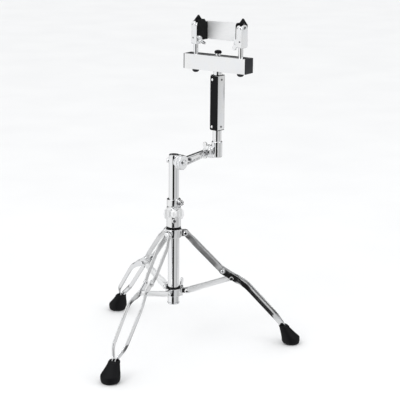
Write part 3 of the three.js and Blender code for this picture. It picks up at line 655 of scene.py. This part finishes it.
def boot_ring(z, inner, outer, half_width):
    segments = 72
    middle_x = (inner + outer) / 2
    reach = (outer - inner) / 2
    angles = [k * (2 * math.pi / segments) for k in range(segments)]
    return [(middle_x + reach * math.cos(angle), half_width * math.sin(angle), z) for angle in angles]


def foot_boot():
    rows = curve_through(BOOT_RINGS) + BOOT_MOUTH
    return moved(loft([boot_ring(*row) for row in rows]), Matrix.Translation(FOOT_CENTRE))


def build_knee(letter, side, label):
    """The rivet, the bolt head and the inner pin on one side of a knee."""
    body = f"leg_{letter}"
    outward = (0, side, 0)
    rivet_place = LEG[letter] @ aim(sideways(KNEE_RIVET, side * RIVET_Y), outward)
    bolt_place = LEG[letter] @ aim(sideways(KNEE_PIVOT, side * BOLT_Y), outward)
    pin_place = LEG[letter] @ aim(sideways(KNEE_RIVET, side * KNEE_PIN_Y), outward)
    fitting(f"{body}_knee_rivet_{label}", moved(domed_head(5.2, 3), rivet_place), body, "cast_chrome")
    bevel(piece(f"{body}_knee_bolt_{label}", moved(hex_head(5.3, 3.6), bolt_place), body, "cast_chrome"), 0.2)
    pin = turned(KNEE_PIN, 0.2, segments=32)
    fitting(f"{body}_knee_pin_{label}", moved(pin, pin_place), body, "dark_steel")


def build_leg(letter):
    place = LEG[letter]
    for side, label in LEG_SIDES:
        dress(f"leg_{letter}_upper_strap_{label}", moved(upper_strap(side), place))
        dress(f"leg_{letter}_lower_strap_{label}", moved(lower_strap(side), place))
        build_knee(letter, side, label)
    dress(f"leg_{letter}_foot", moved(foot_boot(), place))
    dress(f"leg_{letter}_hub_pin", moved(headed_pin(3, 5.5, 16.2), place @ aim(HUB_PIN, BACK)))
    dress(f"brace_{letter}_hub_pin", moved(headed_pin(2.6, 4.6, 15.6), place @ aim(BRACE_PIN, BACK)))
    beveled_node(f"brace_{letter}", 0.7, "satin_plate")


# ---------------------------------------------------------------- height column, tilters and arm

UPPER_TUBE_CAP = [(0, 488), (10.8, 488), (10.8, 497.3), (12.7, 497.3), (12.2, 498.5), (0, 498.9)]
COLLAR_BOLT_HALF = [(2.4, 6.8), (4.1, 6.8), (4.1, 8.6), (2.6, 9.6), (0, 9.6)]
TILTER_NUT = [(0, 29.7), (7, 29.7), (7, 32.2), (4.6, 34.6), (0, 34.9)]
TILTER_HEAD = [(0, -20), (5.6, -20), (6.5, -19.4), (6.5, -13.1), (0, -13.1)]
TILTER_SHANK = [(0, -15), (4, -15), (4, 31), (0, 31)]
LOWER_TILT_SPACE = COLUMN @ aim(LOWER_TILT, RIGHT)
UPPER_TILT_SPACE = COLUMN @ aim(UPPER_TILT, RIGHT)
ARM_TEETH_WIDTH = 4

# The arm lies beside the column, between these two distances from it. Its half depth grows less by
# the taper from the root to the end.
ARM_NEAR = 21.3
ARM_FAR = 29.3
ARM_END_NEAR = 21.2
ARM_ROOT_HALF = 11
ARM_TAPER = 3
ARM_STATIONS = (8, 40, 80, 112)
# Where a dark steel screw head sits on the arm's face near its lower end. It is painted shade: it stands for
# the shadow in a recess there.
ARM_SHADE_SCREW = (29.3, 30, 483)


def collar_bolt_space():
    """Lies across the memory collar, which is turned with the column."""
    across = turned_about_z(COLUMN_ANGLE) @ Vector(BACK)
    return aim(middle("memory_collar_bolt"), across) @ Matrix.Scale(MM, 4)


def arm_section(y):
    """The forged arm's H-shaped outline: two flanges and a sunken web."""
    flange = 3.4
    sink = 2.2
    slope = 1.0
    mid_z = LOWER_TILT.z + (UPPER_TILT.z - LOWER_TILT.z) * y / ARM_LENGTH
    half = ARM_ROOT_HALF - ARM_TAPER * y / ARM_LENGTH
    web = half - flange
    outline = [
        (ARM_FAR, half), (ARM_NEAR, half), (ARM_NEAR, web), (ARM_NEAR + sink, web - slope),
        (ARM_NEAR + sink, -web + slope), (ARM_NEAR, -web), (ARM_NEAR, -half), (ARM_FAR, -half),
        (ARM_FAR, -web), (ARM_FAR - sink, -web + slope), (ARM_FAR - sink, web - slope), (ARM_FAR, web),
    ]
    return [(x, y, mid_z + z) for x, z in outline]


def arm_end(radius, place):
    """The round end of the arm at a tilter."""
    disc = turned([(0, ARM_END_NEAR), (radius, ARM_END_NEAR), (radius, ARM_FAR), (0, ARM_FAR)], 0.9)
    return moved(disc, aim(place, RIGHT))


def build_arm():
    bar = loft([arm_section(y) for y in ARM_STATIONS])
    arm = merged(bar, arm_end(18.4, LOWER_TILT), arm_end(16.6, UPPER_TILT))
    cast(stand_in("tilter_arm", moved(arm, COLUMN)), 0.5, 5)
    # Painted shade: a dark steel screw head put where the arm only has a shadowed recess.
    painted_shade_screw = screw_head((3.6, 0.9), (2.8, 1.5), 1.5, foot=-1.5, rounding=0.3)
    fitting("tilter_arm_shade_screw", moved(painted_shade_screw, COLUMN @ aim(ARM_SHADE_SCREW, RIGHT)), "arm", "dark_steel")
    for name, place, outer, low, high in (
            ("lower", LOWER_TILT_SPACE, 19.1, 21, 24), ("upper", UPPER_TILT_SPACE, 17.1, 26.6, 29.6)):
        teeth = toothed_disc(outer - ARM_TEETH_WIDTH, outer, low, high)
        fitting(f"tilter_arm_{name}_teeth", moved(teeth, place), "arm", "cast_chrome")


def build_column():
    dress("upper_tube", moved(pipe(11.1, 12.7, 130, 497), BASE))
    dress("upper_tube_cap", moved(turned(UPPER_TUBE_CAP, 0.6), BASE))
    cast_node("memory_collar", 0.55, 6)
    collar_bolt = turned(mirrored(COLLAR_BOLT_HALF), 0.4, segments=48)
    dress("memory_collar_bolt", moved(collar_bolt, collar_bolt_space()))

    cast_node("lower_tilter_disc", 0.55, 5)
    teeth = toothed_disc(14, 19.1, 17.2, 20.7)
    fitting("lower_tilter_teeth", moved(teeth, LOWER_TILT_SPACE), "upper_column", "cast_chrome")
    nut = turned(TILTER_NUT, 0.6, segments=48)
    head = lathe(TILTER_HEAD, segments=6)
    shank = turned(TILTER_SHANK, 0.3, segments=32)
    dress("lower_tilter_bolt", moved(merged(nut, head, shank), LOWER_TILT_SPACE))

    build_arm()
    cast_node("post_socket", 0.65, 6)
    teeth = toothed_disc(13, 17.1, 29.8, 33)
    fitting("post_socket_teeth", moved(teeth, UPPER_TILT_SPACE), "post", "cast_chrome")
    cast_node("upper_tilter_wing_screw", 0.5, 6)


# ---------------------------------------------------------------- head

SLEEVE = HEAD @ turned_about_z(-9)
SLEEVE_HALF = 12.3
SLEEVE_LIDS = (("bottom", 545.6), ("top", 685))
SLEEVE_SCREWS = (("bottom", 555), ("top", 675))
LID_HOLE = 11.3
LID_THICKNESS = 1.4
STRIP_HALF = SLEEVE_HALF - 0.3
STRIP_LOW = 547.5
STRIP_HIGH = 684.5

JAW_X = 66.5
SWIVEL_KNOB = [
    (0, 679.7), (4, 679.7), (4, 740.6), (8.3, 740.6), (9.5, 742.2), (9.3, 744.6), (7.2, 747.4),
    (3.2, 748.7), (0, 748.9),
]
JAW_POST = [
    (0, 690), (4, 690), (4, 699.3), (6.35, 699.3), (6.35, 785.5), (4.6, 788.2), (0, 788.4),
]
JAW_POST_NUT = [(0, 687.2), (4.6, 687.6), (8, 690.2), (8.8, 692.6), (8.8, 696.7), (0, 696.7)]


def build_strip(face, direction, thickness):
    """A rubber strip on one face of the sleeve, with its two screws."""
    near = direction * SLEEVE_HALF
    far = direction * (SLEEVE_HALF + thickness)
    strip = block((-STRIP_HALF, min(near, far), STRIP_LOW), (STRIP_HALF, max(near, far), STRIP_HIGH))
    bevel(piece(f"square_sleeve_{face}_strip", moved(strip, SLEEVE), "post", "pad_rubber"), 0.9)
    for end, z in SLEEVE_SCREWS:
        screw = screw_head((3.6, 0.6), (2.6, 1.4), 1.5)
        place = SLEEVE @ aim((-5, far, z), (0, direction, 0))
        fitting(f"square_sleeve_{face}_screw_{end}", moved(screw, place), "post", "tube_chrome")


def build_post():
    dress("post", moved(pipe(9.5, 11.1, 478, 696.7), HEAD))
    beveled_node("square_sleeve", 0.9)
    for end, z in SLEEVE_LIDS:
        lid = holed_square(SLEEVE_HALF, LID_HOLE, z, z + LID_THICKNESS)
        fitting(f"square_sleeve_{end}_lid", moved(lid, SLEEVE), "post", "pad_rubber")
    build_strip("front", -1, 2.6)
    build_strip("back", 1, 1.0)
    for face, direction in (("right", 1), ("left", -1)):
        for end, z in SLEEVE_SCREWS:
            screw = screw_head((2.6, 0.9), (2, 1.5), 1.6, foot=-0.2)
            place = SLEEVE @ aim((SLEEVE_HALF * direction, 1, z), (direction, 0, 0))
            fitting(f"square_sleeve_{face}_screw_{end}", moved(screw, place), "post", "dark_steel")


def build_beam():
    beveled_node("beam", 0.8)
    for label in ("left", "right"):
        beveled_node(f"beam_end_cap_{label}", 0.7)
    dress("swivel_collar", moved(pipe(4.4, 7.5, 735.3, 740.3, 0.8), HEAD))
    knob = lathe(soften(SWIVEL_KNOB, 0.9), segments=96, flutes=12, flute_depth=0.5)
    dress("swivel_knob", moved(knob, HEAD))
    for side, label in HEAD_SIDES:
        place = HEAD @ Matrix.Translation((side * JAW_X, 0, 0))
        dress(f"jaw_post_{label}", moved(turned(JAW_POST, 0.4), place))
        dress(f"jaw_post_nut_{label}", moved(turned(JAW_POST_NUT, 1.0), place))


def jaw_body(side, label):
    """A jaw's CAD shape, swollen at two heights on its front and once on its outer side."""
    x = side * JAW_X
    swellings = (
        ball(6.2, 1.7, 14, (x, -9.2, 786)),
        ball(5.6, 1.6, 6.5, (x, -9.2, 806)),
        ball(1.6, 9.5, 11, (x + side * 7.6, 3.5, 803)),
    )
    return merged(cad_mesh(f"jaw_{label}"), *(moved(swelling, HEAD) for swelling in swellings))


def build_jaws():
    beveled_node("jaw_bracket", 0.5)
    for side, label in HEAD_SIDES:
        x = side * JAW_X
        cast(stand_in(f"jaw_{label}", jaw_body(side, label)), 0.55, 5)
        pad = cast_node(f"jaw_pad_{label}", 0.5, 5)
        cast_node(f"jaw_wing_screw_{label}", 0.45, 5)
        set_screw = screw_head((2.1, 1.1), (1.5, 1.6), 1.6, rounding=0.3, segments=32)
        set_place = HEAD @ aim((x + side * 2, -9.6, 775), FRONT)
        fitting(f"jaw_{label}_set_screw", moved(set_screw, set_place), "jaws", "dark_steel")
        bracket_screw = screw_head((3.4, 1.2), (2.2, 2.2), 2.3, segments=32)
        bracket_place = HEAD @ aim((x, 19.6, 776), BACK)
        fitting(f"jaw_bracket_screw_{label}", moved(bracket_screw, bracket_place), "jaws", "dark_steel")


# ---------------------------------------------------------------- studio

# What the chrome reflects. Bearings and heights are in degrees: bearing 0 is towards the camera's side
# of the object, and grows to the camera's right. The walls are [bearing, brightness] stops.
ROUND_ABOUT = [
    (-180, 0.30), (-155, 0.42), (-128, 0.90), (-60, 0.94), (-34, 0.86), (-28, 0.015), (7, 0.015),
    (12, 0.66), (52, 0.60), (68, 0.46), (84, 0.64), (118, 0.82), (148, 0.58), (180, 0.30),
]
OVERHEAD = 1.15
BELOW = 0.80
WALL_TOP = 52
WALL_FOOT = -42
PLAIN_LIGHT = 1.12

# Dark cards in front of the walls, as [brightness, place]. Faces that look up mirror the first to the
# camera. The others darken both edges of an upright tube.
BACKDROP_CARD = dict(centre=180, half=40, low=3, high=42)
EDGE_CARDS = [
    dict(centre=centre, half=24, low=low, high=high)
    for centre in (-122, 122) for low, high in ((-4, 26), (-44, -24))
]
DARK_CARDS = [(0.05, BACKDROP_CARD), *((0.12, card) for card in EDGE_CARDS)]

# The camera's place from the foot of the tube, and its angles in degrees.
CAMERA_PLACE = Vector((-23.4, -3187.6, 1210.5))
CAMERA_HEADING = 1.6
CAMERA_PITCH = 14.58
CAMERA_ROLL = 0.53
LENS = 118.2
SENSOR_WIDTH = 36
LIGHT_TARGET = Vector((0, 0, 0.4))


class WorldNodes:
    """A short way to write the world's arithmetic."""

    def __init__(self, tree):
        self.tree = tree

    def add(self, kind, *inputs, **settings):
        node = self.tree.nodes.new(kind)
        for key, value in settings.items():
            setattr(node, key, value)
        for entry, value in zip(node.inputs, inputs):
            if isinstance(value, (int, float)):
                entry.default_value = value
            elif value is not None:
                self.tree.links.new(value, entry)
        return node

    def math(self, operation, *inputs):
        return self.add("ShaderNodeMath", *inputs, operation=operation).outputs[0]

    def fall(self, value, inside, outside):
        """1 where the value is at inside, falling to 0 at outside, in degrees."""
        ends = (math.radians(outside), math.radians(inside))
        return self.add("ShaderNodeMapRange", value, *ends, 0.0, 1.0).outputs[0]

    def blend(self, first, second, weight):
        return self.add("ShaderNodeMix", weight, None, first, second, data_type="FLOAT").outputs[0]

    def patch(self, bearing, height, centre, half, low, high):
        """1 in a patch of directions, with soft edges."""
        away = self.math("ABSOLUTE", self.math("SUBTRACT", bearing, math.radians(centre)))
        away = self.math("MINIMUM", away, self.math("SUBTRACT", 2 * math.pi, away))
        soft = half * 0.25
        across = self.fall(away, half - soft, half + soft)
        middle_height = (low + high) / 2
        half_height = (high - low) / 2
        rise = self.math("ABSOLUTE", self.math("SUBTRACT", height, math.radians(middle_height)))
        return self.math("MULTIPLY", across, self.fall(rise, half_height * 0.9, half_height * 1.1))


def mirrored_studio(make):
    """How bright the walls, the cards, the ceiling and the ground are in each direction."""
    direction = make.add("ShaderNodeTexCoord").outputs["Generated"]
    x, y, z = make.add("ShaderNodeSeparateXYZ", direction).outputs
    bearing = make.math("ARCTAN2", x, make.math("MULTIPLY", y, -1.0))
    height = make.math("ARCSINE", z)

    turn = make.math("ADD", make.math("DIVIDE", bearing, 2 * math.pi), 0.5)
    ramp = make.add("ShaderNodeValToRGB", turn)
    elements = ramp.color_ramp.elements
    while len(elements) < len(ROUND_ABOUT):
        elements.new(0.5)
    for element, (degrees, level) in zip(elements, ROUND_ABOUT):
        element.position = degrees / 360 + 0.5
        element.color = (level, level, level, 1)
    wall = make.math("ADD", ramp.outputs["Color"], 0.0)

    for level, card in DARK_CARDS:
        wall = make.blend(wall, level, make.patch(bearing, height, **card))
    wall = make.blend(wall, OVERHEAD, make.fall(height, WALL_TOP + 8, WALL_TOP - 8))
    return make.blend(wall, BELOW, make.fall(height, WALL_FOOT - 6, WALL_FOOT + 6))


def studio_world():
    """Soft white walls and ceiling with a dark side, as a product studio has, seen only in reflections."""
    world = bpy.data.worlds.new("studio")
    bpy.context.scene.world = world
    world.use_nodes = True
    world.node_tree.nodes.clear()
    make = WorldNodes(world.node_tree)
    wall = mirrored_studio(make)
    path = make.add("ShaderNodeLightPath")
    plain = make.math("MAXIMUM", path.outputs["Is Camera Ray"], path.outputs["Is Diffuse Ray"])
    strength = make.blend(wall, PLAIN_LIGHT, plain)
    background = make.add("ShaderNodeBackground", None, strength)
    background.inputs["Color"].default_value = (0.985, 0.993, 1.0, 1)
    make.add("ShaderNodeOutputWorld", background.outputs[0])


def studio_floor():
    shader = Shader("studio_floor", 0.0)
    patches = shader.noise(3, detail=2)
    shader.color(shader.ramp(patches, [(0.3, (0.86, 0.86, 0.862)), (0.7, (0.885, 0.885, 0.885))]))
    shader.surface.inputs["Roughness"].default_value = 0.9
    bm = bmesh.new()
    bmesh.ops.create_grid(bm, x_segments=1, y_segments=1, size=40)
    mesh = bpy.data.meshes.new("floor")
    bm.to_mesh(mesh)
    bm.free()
    mesh.materials.append(shader.material)
    floor = bpy.data.objects.new("floor", mesh)
    floor.location.z = -0.0004
    floor.visible_glossy = False
    bpy.context.scene.collection.objects.link(floor)


def studio_light(name, place, size, power):
    data = bpy.data.lights.new(name, "AREA")
    data.size = size
    data.energy = power
    light = bpy.data.objects.new(name, data)
    turn = (LIGHT_TARGET - Vector(place)).to_track_quat("-Z", "Y").to_matrix().to_4x4()
    light.matrix_world = Matrix.Translation(place) @ turn
    bpy.context.scene.collection.objects.link(light)


def studio_camera():
    """Stands about 3.3 m away, a little above the object, and looks down at it with a long lens."""
    data = bpy.data.cameras.new("camera")
    data.lens = LENS
    data.sensor_width = SENSOR_WIDTH
    data.clip_end = 200
    camera = bpy.data.objects.new("camera", data)
    heading = math.radians(CAMERA_HEADING)
    pitch = math.radians(CAMERA_PITCH)
    roll = math.radians(CAMERA_ROLL)
    level = math.cos(pitch)
    forward = Vector((math.sin(heading) * level, math.cos(heading) * level, -math.sin(pitch)))
    right = Vector((math.cos(heading), -math.sin(heading), 0))
    up = right.cross(forward)
    tilted_right = right * math.cos(roll) + up * math.sin(roll)
    tilted_up = up * math.cos(roll) - right * math.sin(roll)
    turn = Matrix((tilted_right, tilted_up, -forward)).transposed().to_4x4()
    camera.matrix_world = Matrix.Translation(TUBE_FOOT + CAMERA_PLACE * MM) @ turn
    bpy.context.scene.collection.objects.link(camera)
    bpy.context.scene.camera = camera


studio_camera()
studio_world()
studio_floor()
studio_light("key", place=(-2.2, -2.4, 2.8), size=1.4, power=25)
studio_light("fill", place=(2.6, -1.2, 1.6), size=1.2, power=8)
bpy.context.scene.view_settings.view_transform = "Standard"

build_base()
for leg_letter in LEG_ANGLES:
    build_leg(leg_letter)
build_column()
build_post()
build_beam()
build_jaws()
